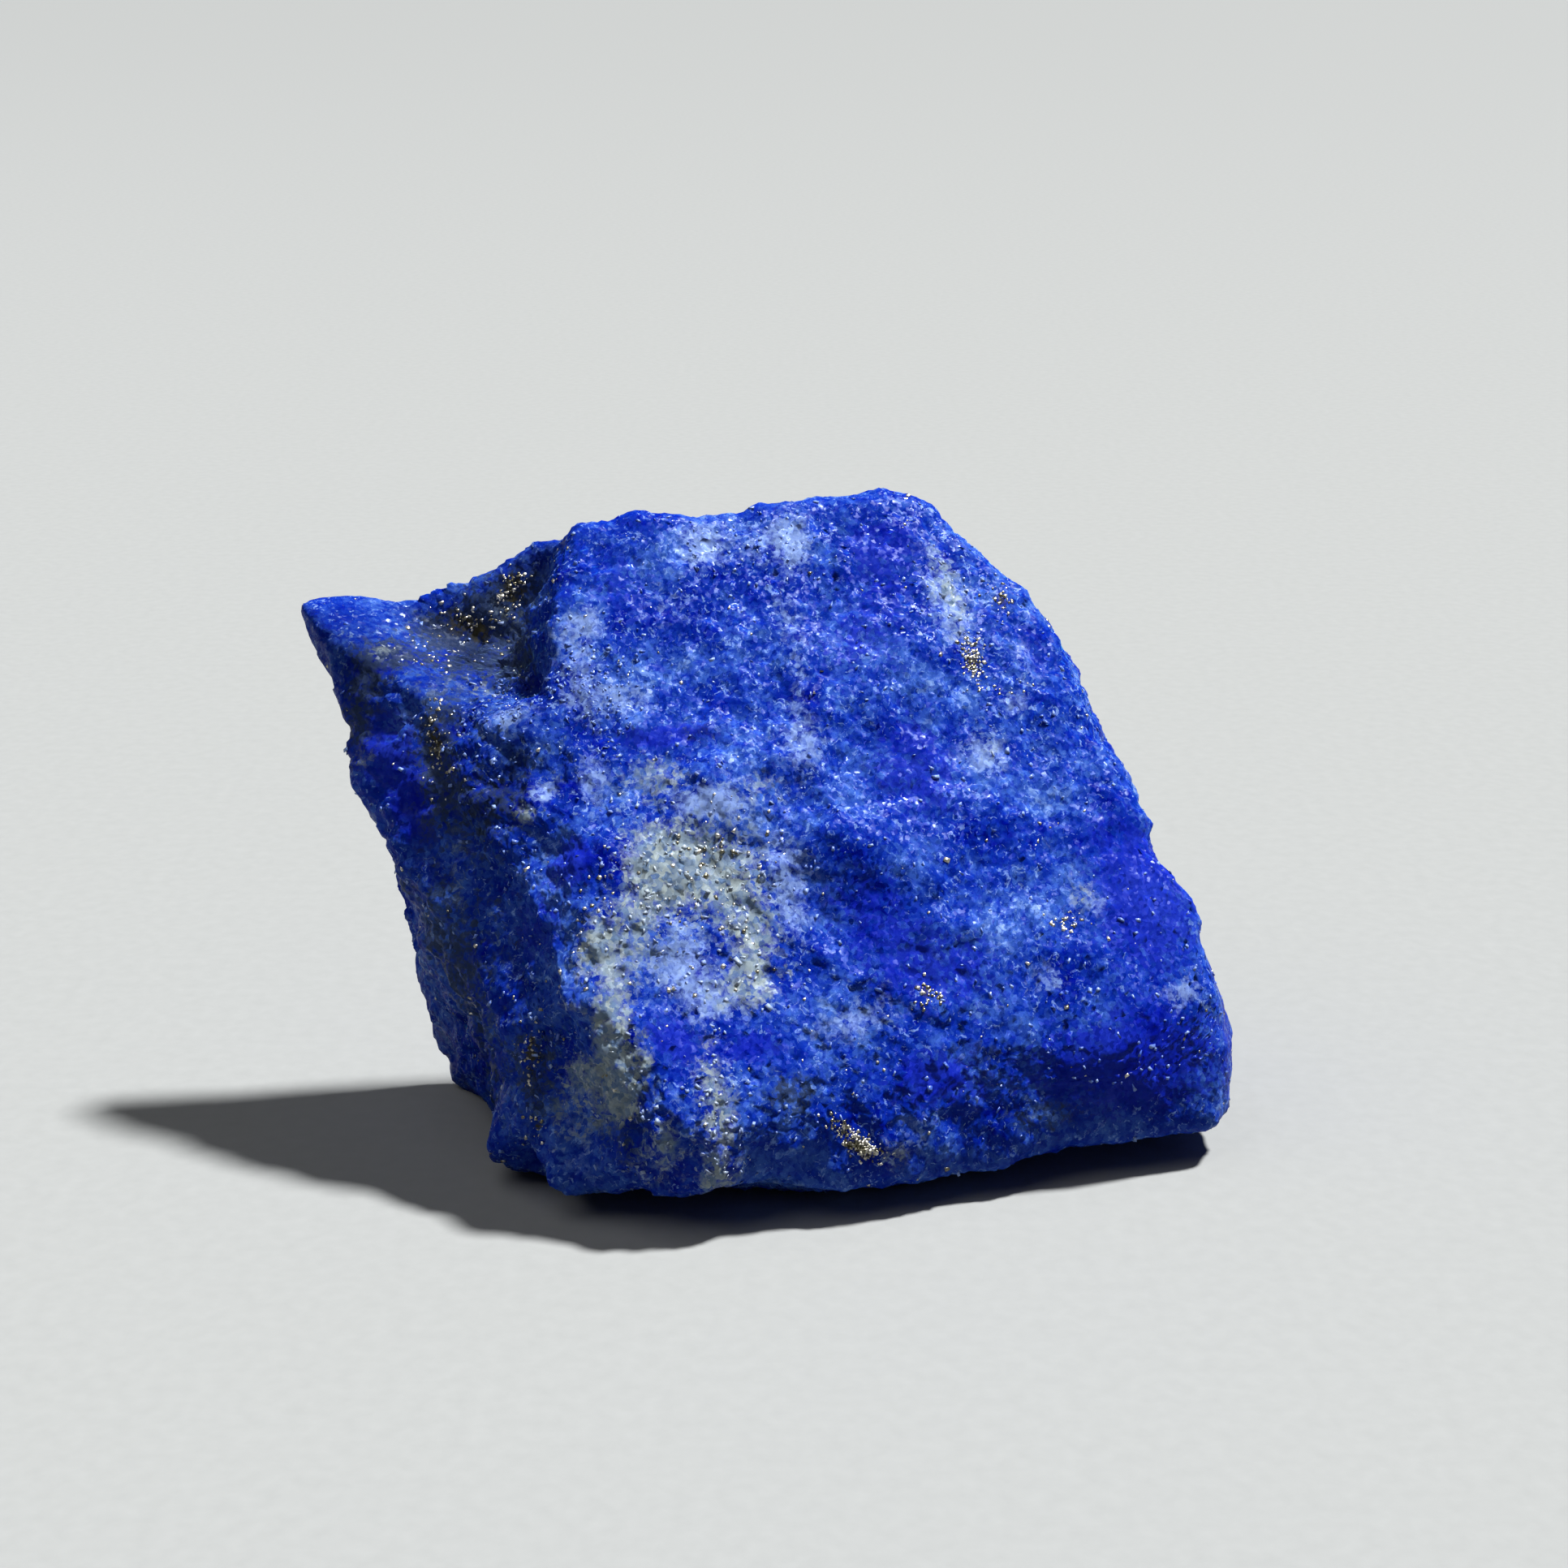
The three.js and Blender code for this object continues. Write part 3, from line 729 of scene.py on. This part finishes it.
# Settings that several nodes share, and the inputs of a Mix node that mixes colours.
COLOUR_MIX = {"data_type": "RGBA"}
FACTOR, COLOUR_A, COLOUR_B = 0, 6, 7
SMOOTH = {"interpolation_type": "SMOOTHSTEP"}
MULTIPLY_ADD = {"operation": "MULTIPLY_ADD"}  # first input times the second, plus the third


def linear(code):
    """An sRGB hex colour such as #1729BA as linear red, green, blue and 1.

    A dark value is divided by 12.92. Any other is shifted, scaled and raised to 2.4.
    """
    values = [int(code[index:index + 2], 16) / 255 for index in (1, 3, 5)]
    return (*(v / 12.92 if v <= 0.04045 else ((v + 0.055) / 1.055) ** 2.4 for v in values), 1.0)


def per_metre(size):
    """The texture scale at which one cell or blotch is size millimetres wide."""
    return 1 / (size * MM)


def add(tree, kind, sockets=None, **settings):
    """Adds one node. sockets maps an input to its value, or to what feeds it.

    That is an output, or a node, which stands for its first output in use.
    """
    made = tree.nodes.new("ShaderNode" + kind)
    for name, value in settings.items():
        setattr(made, name, value)
    for socket, source in (sockets or {}).items():
        if isinstance(source, bpy.types.Node):
            source = next(output for output in source.outputs if output.enabled)
        if isinstance(source, bpy.types.NodeSocket):
            tree.links.new(source, made.inputs[socket])
        else:
            made.inputs[socket].default_value = source
    return made


def new_material(name):
    """A material with an empty node tree; gives both."""
    material = bpy.data.materials.new(name)
    material.use_nodes = True
    material.node_tree.nodes.clear()
    return material, material.node_tree


def surfaced(material, sockets):
    """The material with a Principled shader that has these sockets, and its output."""
    tree = material.node_tree
    add(tree, "OutputMaterial", {"Surface": add(tree, "BsdfPrincipled", sockets)})
    return material


# Widths of the patterns in lapis, in millimetres.
GRAIN = 0.2  # a lazurite grain
FRET = 0.18  # the wobbles that make the grains' outlines crooked
CROOKED = 0.2  # how far the wobbles reach
CLOUD = 2.4
CLOT = 0.75
SLIVER = 0.3
FACET = 0.14  # a crystal's own tilted face
FACET_LEAN = 0.36  # how far a facet's normal turns from the surface's

# The lapis ramp: where along it each colour lies.
TONES = ((0.0, "deep"), (0.38, "royal"), (0.72, "corn"), (1.0, "ice"))
# Slivers: the noise at which they begin and are whole, the most they cover, and their colour.
SLIVERS = ((0.58, 0.68, 0.75, "ice"), (0.42, 0.32, 0.6, "deep"))
# Patches, in the order that they cover each other: the sum at which each begins and is whole.
PATCH_EDGES = {"pure": (2.3, 2.9), "smoke_and_painted_shade": (2.5, 3.3), "veil": (2.4, 3.5),
               "calcite": (2.35, 3.4), "tarnish": (2.5, 3.2)}
PATCH_REACH = 1.6  # weight of a patch against its ragged edge


def rough_lapis(colours):
    """Lapis lazuli, freshly broken: deep ultramarine, waxy to glassy.

    A mass of lazurite grains a fifth of a millimetre across, clouded by calcite between
    them, so that the tone runs from deep blue to a pale cornflower in clots. Veils of
    calcite and smoky grey patches lie in it, and patches of painted shade darken its crevices,
    its alcove and its shaded sides.
    """
    material, tree = new_material("lapis_lazuli_rough_broken")
    place = add(tree, "TexCoord").outputs["Object"]

    # Grain: each cell is one crystal, with its own tone; clots and clouds gather them.
    fret = add(tree, "TexNoise", {"Vector": place, "Scale": per_metre(FRET), "Detail": 2.0})
    crooked = add(tree, "VectorMath", {0: fret.outputs["Color"], 1: (CROOKED * MM,) * 3,
                                       2: place}, **MULTIPLY_ADD)
    grain = add(tree, "TexVoronoi", {"Vector": crooked, "Scale": per_metre(GRAIN)})
    tone = add(tree, "SeparateColor", {0: grain.outputs["Color"]}).outputs
    cloud = add(tree, "TexNoise", {"Vector": place, "Scale": per_metre(CLOUD), "Detail": 2.0})
    clot = add(tree, "TexNoise", {"Vector": place, "Scale": per_metre(CLOT), "Detail": 6.0,
                                  "Roughness": 0.72, "Distortion": 0.5})
    level = 0.0
    for pattern, weight in ((cloud, 1.2), (clot, 1.1), (tone[0], 0.3)):
        level = add(tree, "Math", {0: pattern, 1: weight, 2: level}, **MULTIPLY_ADD)
    shade = add(tree, "MapRange", {"Value": level, "From Min": 0.9, "From Max": 1.8})
    ramp = add(tree, "ValToRGB", {0: shade})
    stops = ramp.color_ramp.elements
    for index, (at, name) in enumerate(TONES):
        stop = stops[index] if index < 2 else stops.new(at)
        stop.position, stop.color = at, colours[name]

    # Slivers of calcite between the grains, pale, and as many pits and dark grains.
    sliver = add(tree, "TexNoise", {"Vector": crooked, "Scale": per_metre(SLIVER), "Detail": 3.0,
                                    "Roughness": 0.6, "Distortion": 1.4})
    layers = []
    for none, whole, most, name in SLIVERS:
        share = add(tree, "MapRange", {"Value": sliver, "From Min": none, "From Max": whole,
                                       "To Max": most}, **SMOOTH)
        layers.append((share, colours[name]))

    # Patches: the attribute, broken up by clots, slivers and whole grains.
    ragged = 0.0
    for pattern, weight in ((clot, 1.6), (sliver, 1.4), (tone[1], 0.6)):
        ragged = add(tree, "Math", {0: pattern, 1: weight, 2: ragged}, **MULTIPLY_ADD)
    clean = add(tree, "Mix", {FACTOR: shade, COLOUR_A: colours["ink"],
                              COLOUR_B: colours["pure"]}, **COLOUR_MIX)
    spar = add(tree, "Mix", {FACTOR: tone[2], COLOUR_A: colours["calcite"],
                             COLOUR_B: colours["spar"]}, **COLOUR_MIX)
    tints = {**colours, "pure": clean, "calcite": spar}
    for mineral, (none, whole) in PATCH_EDGES.items():
        share = add(tree, "Attribute", attribute_name=mineral).outputs["Fac"]
        reach = add(tree, "Math", {0: share, 1: PATCH_REACH, 2: ragged}, **MULTIPLY_ADD)
        covered = add(tree, "MapRange", {"Value": reach, "From Min": none, "From Max": whole},
                      **SMOOTH)
        layers.append((covered, tints[mineral]))
    # Painted shade: a soft mix towards a dark colour in the crevices and on shaded parts.
    painted_shade = add(tree, "Attribute", attribute_name="painted_shade").outputs["Fac"]
    layers.append((painted_shade, colours["painted_shade"]))
    mixed = ramp
    for share, colour in layers:
        mixed = add(tree, "Mix", {FACTOR: share, COLOUR_A: mixed, COLOUR_B: colour}, **COLOUR_MIX)

    # Each crystal's own tilt turns the surface normal a little.
    facet = add(tree, "TexVoronoi", {"Vector": crooked, "Scale": per_metre(FACET)})
    centred = add(tree, "VectorMath", {0: facet.outputs["Color"], 1: (0.5,) * 3},
                  operation="SUBTRACT")
    surface = add(tree, "NewGeometry").outputs["Normal"]
    leaned = add(tree, "VectorMath", {0: centred, 1: (FACET_LEAN,) * 3, 2: surface},
                 **MULTIPLY_ADD)
    normal = add(tree, "VectorMath", {0: leaned}, operation="NORMALIZE")
    gloss = add(tree, "SeparateColor", {0: facet.outputs["Color"]}).outputs[2]
    roughness = add(tree, "MapRange", {"Value": gloss, "To Min": 0.14, "To Max": 0.4})
    return surfaced(material, {
        "Base Color": mixed, "Normal": normal, "Roughness": roughness, "IOR": 1.5,
        "Specular IOR Level": 0.07, "Specular Tint": linear("#CCE4FF"),
        "Subsurface Weight": 0.8, "Subsurface Radius": (1.0, 1.0, 1.0),
        "Subsurface Scale": 0.08 * MM,
    })


def pyrite():
    """Pyrite: fool's gold crystals, brassy and mirror-bright on their fresh faces."""
    material, tree = new_material("pyrite_crystal")
    place = add(tree, "TexCoord").outputs["Object"]
    tarnish = add(tree, "TexNoise", {"Vector": place, "Scale": per_metre(0.3), "Detail": 2.0})
    fresh = add(tree, "MapRange", {"Value": tarnish, "From Min": 0.4, "From Max": 0.6},
                **SMOOTH)
    colour = add(tree, "Mix", {FACTOR: fresh, COLOUR_A: linear("#96917A"),
                               COLOUR_B: linear("#FFFBF0")}, **COLOUR_MIX)
    roughness = add(tree, "MapRange", {"Value": tarnish, "To Min": 0.28, "To Max": 0.5})
    return surfaced(material, {"Base Color": colour, "Roughness": roughness, "Metallic": 1.0})


def calcite_grain():
    """Calcite slivers: milky pale blue, grey in the calcite patches, glassy where cleaved."""
    material, tree = new_material("calcite_grain_cleaved")
    place = add(tree, "TexCoord").outputs["Object"]
    cloud = add(tree, "TexNoise", {"Vector": place, "Scale": per_metre(0.5), "Detail": 2.0})
    milky = add(tree, "MapRange", {"Value": cloud, "From Min": 0.35, "From Max": 0.65},
                **SMOOTH)
    blue = add(tree, "Mix", {FACTOR: milky, COLOUR_A: linear("#4668CC"),
                             COLOUR_B: linear("#8FADEE")}, **COLOUR_MIX)
    grey = add(tree, "Attribute", attribute_name="calcite").outputs["Fac"]
    colour = add(tree, "Mix", {FACTOR: grey, COLOUR_A: blue, COLOUR_B: linear("#B4C2CE")},
                 **COLOUR_MIX)
    return surfaced(material, {"Base Color": colour, "Roughness": 0.28, "IOR": 1.6})


BOUNCE = 0.5  # share of the floor's light that reaches the stone


def pale_floor(colour):
    """Matt pale board: an even, faintly mottled ground."""
    material, tree = new_material("pale_matt_board")
    place = add(tree, "TexCoord").outputs["Object"]
    mottle = add(tree, "TexNoise", {"Vector": place, "Scale": per_metre(0.6), "Detail": 4.0})
    value = add(tree, "MapRange", {"Value": mottle, "To Min": 0.93, "To Max": 1.07})
    seen = add(tree, "LightPath").outputs["Is Camera Ray"]
    reflected = add(tree, "MapRange", {"Value": seen, "To Min": BOUNCE, "To Max": 1.0})
    scale = add(tree, "Math", {0: value, 1: reflected}, operation="MULTIPLY")
    toned = add(tree, "VectorMath", {0: colour, "Scale": scale}, operation="SCALE")
    return surfaced(material, {"Base Color": toned, "Roughness": 0.9})


# ---------- What a user may change ----------


def colour_setting(name, description, code):
    """A colour that a user may change, with its sRGB hex code as the default."""
    return bpy.props.FloatVectorProperty(
        name=name, description=description, subtype="COLOR", default=linear(code)[:3])


class StoneSettings(bpy.types.PropertyGroup):
    """Colours of the stone."""
    deep: colour_setting("Deep blue", "Colour of the darkest lazurite grains", "#0013A0")
    royal: colour_setting("Royal blue", "Colour of common lazurite", "#1038B4")
    corn: colour_setting("Cornflower", "Colour of lazurite clouded by calcite", "#3F6ACC")
    ice: colour_setting("Ice blue", "Colour of the palest grains", "#8FB2F2")
    ink: colour_setting("Ink", "Colour of the darkest clean grains", "#0719AE")
    pure: colour_setting("Pure", "Colour of the lighter clean grains", "#2540C6")
    veil: colour_setting("Veil", "Colour of the white veils in blue stone", "#8FAAE6")
    calcite: colour_setting("Calcite", "Colour of the grey calcite patches", "#6B86AC")
    spar: colour_setting("Spar", "Colour of the palest calcite grains", "#AFBCBE")
    # Smoky grey stone, and painted shade in the alcove and on shaded parts.
    smoke_and_painted_shade: colour_setting("Smoke and painted shade", "Colour of the smoky grey patches", "#33446B")
    tarnish: colour_setting("Tarnish", "Colour of the olive stone about pyrite", "#4C4833")
    # Painted shade: the dark colour laid into crevices and onto shaded parts.
    painted_shade: colour_setting("Painted shade", "Colour of the darkest stone, in crevices", "#0B1230")


class GrainSettings(bpy.types.PropertyGroup):
    """Pale calcite grains."""
    count: bpy.props.IntProperty(
        name="Grains", description="Number of pale grains outside clusters", default=2200, min=0)
    largest: bpy.props.FloatProperty(
        name="Largest", description="Width of the largest scattered grain",
        default=0.21 * MM, unit="LENGTH", precision=5)


class PyriteSettings(bpy.types.PropertyGroup):
    """Flecks of pyrite."""
    count: bpy.props.IntProperty(
        name="Flecks", description="Number of pyrite crystals outside clusters", default=560,
        min=0)
    largest: bpy.props.FloatProperty(
        name="Largest", description="Width of the largest scattered crystal",
        default=0.17 * MM, unit="LENGTH", precision=5)


class StageSettings(bpy.types.PropertyGroup):
    """Floor, light and camera."""
    floor: colour_setting("Floor", "Colour of the floor", "#A3A5A4")
    sun: bpy.props.FloatProperty(
        name="Key light", description="Strength of the key light", default=6.0, min=0.0)
    fill: bpy.props.FloatProperty(
        name="Fill light", description="Strength of the light from all round", default=0.03,
        min=0.0)


# ---------- Operators ----------


class LapisStone(bpy.types.Operator):
    """Build the broken stone around the frame's solid"""
    bl_idname = "lapis.stone"
    bl_label = "Broken stone"

    def execute(self, context):
        settings = context.scene.lapis_stone
        names = StoneSettings.__annotations__
        material = rough_lapis({name: (*getattr(settings, name), 1.0) for name in names})
        points, triangles = stone_mesh()
        shares = {mineral: mineral_share(points, mineral) for mineral in PATCHES}
        piece = make_piece("broken_lapis", points, triangles, material, shares)
        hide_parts(STONE_NODE)
        return {"FINISHED"}


class LapisGrains(bpy.types.Operator):
    """Set pale calcite grains into the stone, scattered and in clusters"""
    bl_idname = "lapis.grains"
    bl_label = "Calcite grains"

    def execute(self, context):
        points, triangles = crystals(context.scene.lapis_grains, CALCITE, CALCITE_CLUSTERS)
        shares = {"calcite": mineral_share(points, "calcite")}
        make_piece("calcite_grains", points, triangles, calcite_grain(), shares)
        return {"FINISHED"}


class LapisPyrite(bpy.types.Operator):
    """Set pyrite crystals into the stone, scattered and in clusters"""
    bl_idname = "lapis.pyrite"
    bl_label = "Pyrite flecks"

    def execute(self, context):
        points, triangles = crystals(context.scene.lapis_pyrite, PYRITE, PYRITE_CLUSTERS)
        make_piece("pyrite_flecks", points, triangles, pyrite())
        return {"FINISHED"}


# The stage, in metres and degrees where nothing else is said.
FLOOR_REACH = 3.0  # half the floor's width
BACKDROP = 0.75  # brightness of the backdrop that the camera sees
KEY_AT = (30.8, 61.6, 0.3)  # azimuth, elevation and distance
KEY_WIDTH = 6  # of the light's disk in the sky, seen from the stone
FILL_AT = (-170, 60, 0.5)
FILL_SIZE = 0.5
FILL_POWER = 0.5  # watts
LENS, SENSOR = 60, 36  # millimetres
CAMERA_AT = (0.5, -85.6, 42.0)  # millimetres, before PLACE is added
CAMERA_DOWN = 19  # how far below level the camera looks
NEAREST_SEEN = 0.001


def lamp_at(name, kind, azimuth, elevation, distance):
    """A light at a distance from the origin that shines on it; gives its data."""
    lamp = bpy.data.lights.new(name, kind)
    made = in_scene(name, lamp)
    made.location = facing(azimuth, elevation) * distance
    made.rotation_euler = (math.radians(90 - elevation), 0, math.radians(azimuth + 90))
    return lamp


class LapisStage(bpy.types.Operator):
    """Set the floor, the light and the camera"""
    bl_idname = "lapis.stage"
    bl_label = "Stage"

    def execute(self, context):
        scene = context.scene
        settings = scene.lapis_stage
        mesh = bpy.data.meshes.new("floor")
        corners = [(x * FLOOR_REACH, y * FLOOR_REACH, 0) for x, y in
                   ((-1, -1), (1, -1), (1, 1), (-1, 1))]
        mesh.from_pydata(corners, [], [(0, 1, 2, 3)])
        mesh.materials.append(pale_floor(tuple(settings.floor)))
        in_scene("floor", mesh)

        key = lamp_at("key light", "SUN", *KEY_AT)
        key.energy = settings.sun
        key.angle = math.radians(KEY_WIDTH)
        fill = lamp_at("fill light", "AREA", *FILL_AT)
        fill.shape = "DISK"
        fill.size = FILL_SIZE
        fill.energy = FILL_POWER

        world = bpy.data.worlds.new("studio")
        world.use_nodes = True
        tree = world.node_tree
        tree.nodes.clear()
        seen = add(tree, "LightPath").outputs["Is Camera Ray"]
        strength = add(tree, "MapRange", {"Value": seen, "To Min": settings.fill,
                                          "To Max": BACKDROP})
        sky = add(tree, "Background", {"Color": linear("#E6EAF2"), "Strength": strength})
        add(tree, "OutputWorld", {"Surface": sky})
        scene.world = world

        view = bpy.data.cameras.new("camera")
        view.lens = LENS
        view.sensor_width = SENSOR
        view.clip_start = NEAREST_SEEN
        scene.camera = in_scene("camera", view)
        scene.camera.location = (np.array(CAMERA_AT) + PLACE) * MM
        scene.camera.rotation_euler = (math.radians(90 - CAMERA_DOWN), 0, 0)
        scene.view_settings.view_transform = "Standard"
        return {"FINISHED"}


class LapisPanel(bpy.types.Panel):
    """The specimen's pieces and their settings"""
    bl_idname = "VIEW3D_PT_lapis"
    bl_label = "Lapis lazuli"
    bl_space_type = "VIEW_3D"
    bl_region_type = "UI"
    bl_category = "Lapis"

    def draw(self, context):
        for group, settings, operator in STEPS:
            box = self.layout.box()
            for name in settings.__annotations__:
                box.prop(getattr(context.scene, group), name)
            box.operator(operator.bl_idname)


# Each step's place in the scene, its settings and its operator.
STEPS = (
    ("lapis_stone", StoneSettings, LapisStone),
    ("lapis_grains", GrainSettings, LapisGrains),
    ("lapis_pyrite", PyriteSettings, LapisPyrite),
    ("lapis_stage", StageSettings, LapisStage),
)
CLASSES = (*(step[1] for step in STEPS), *(step[2] for step in STEPS), LapisPanel)


def register():
    """Registers the classes, and gives the scene its settings."""
    for entry in CLASSES:
        bpy.utils.register_class(entry)
    for name, settings, _ in STEPS:
        setattr(bpy.types.Scene, name, bpy.props.PointerProperty(type=settings))


def unregister():
    """Takes the settings and the classes away again."""
    for name, _, _ in STEPS:
        delattr(bpy.types.Scene, name)
    for entry in reversed(CLASSES):
        bpy.utils.unregister_class(entry)


def main():
    """Builds every piece."""
    register()
    bpy.ops.lapis.stone()
    bpy.ops.lapis.grains()
    bpy.ops.lapis.pyrite()
    bpy.ops.lapis.stage()


if __name__ == "__main__":
    main()
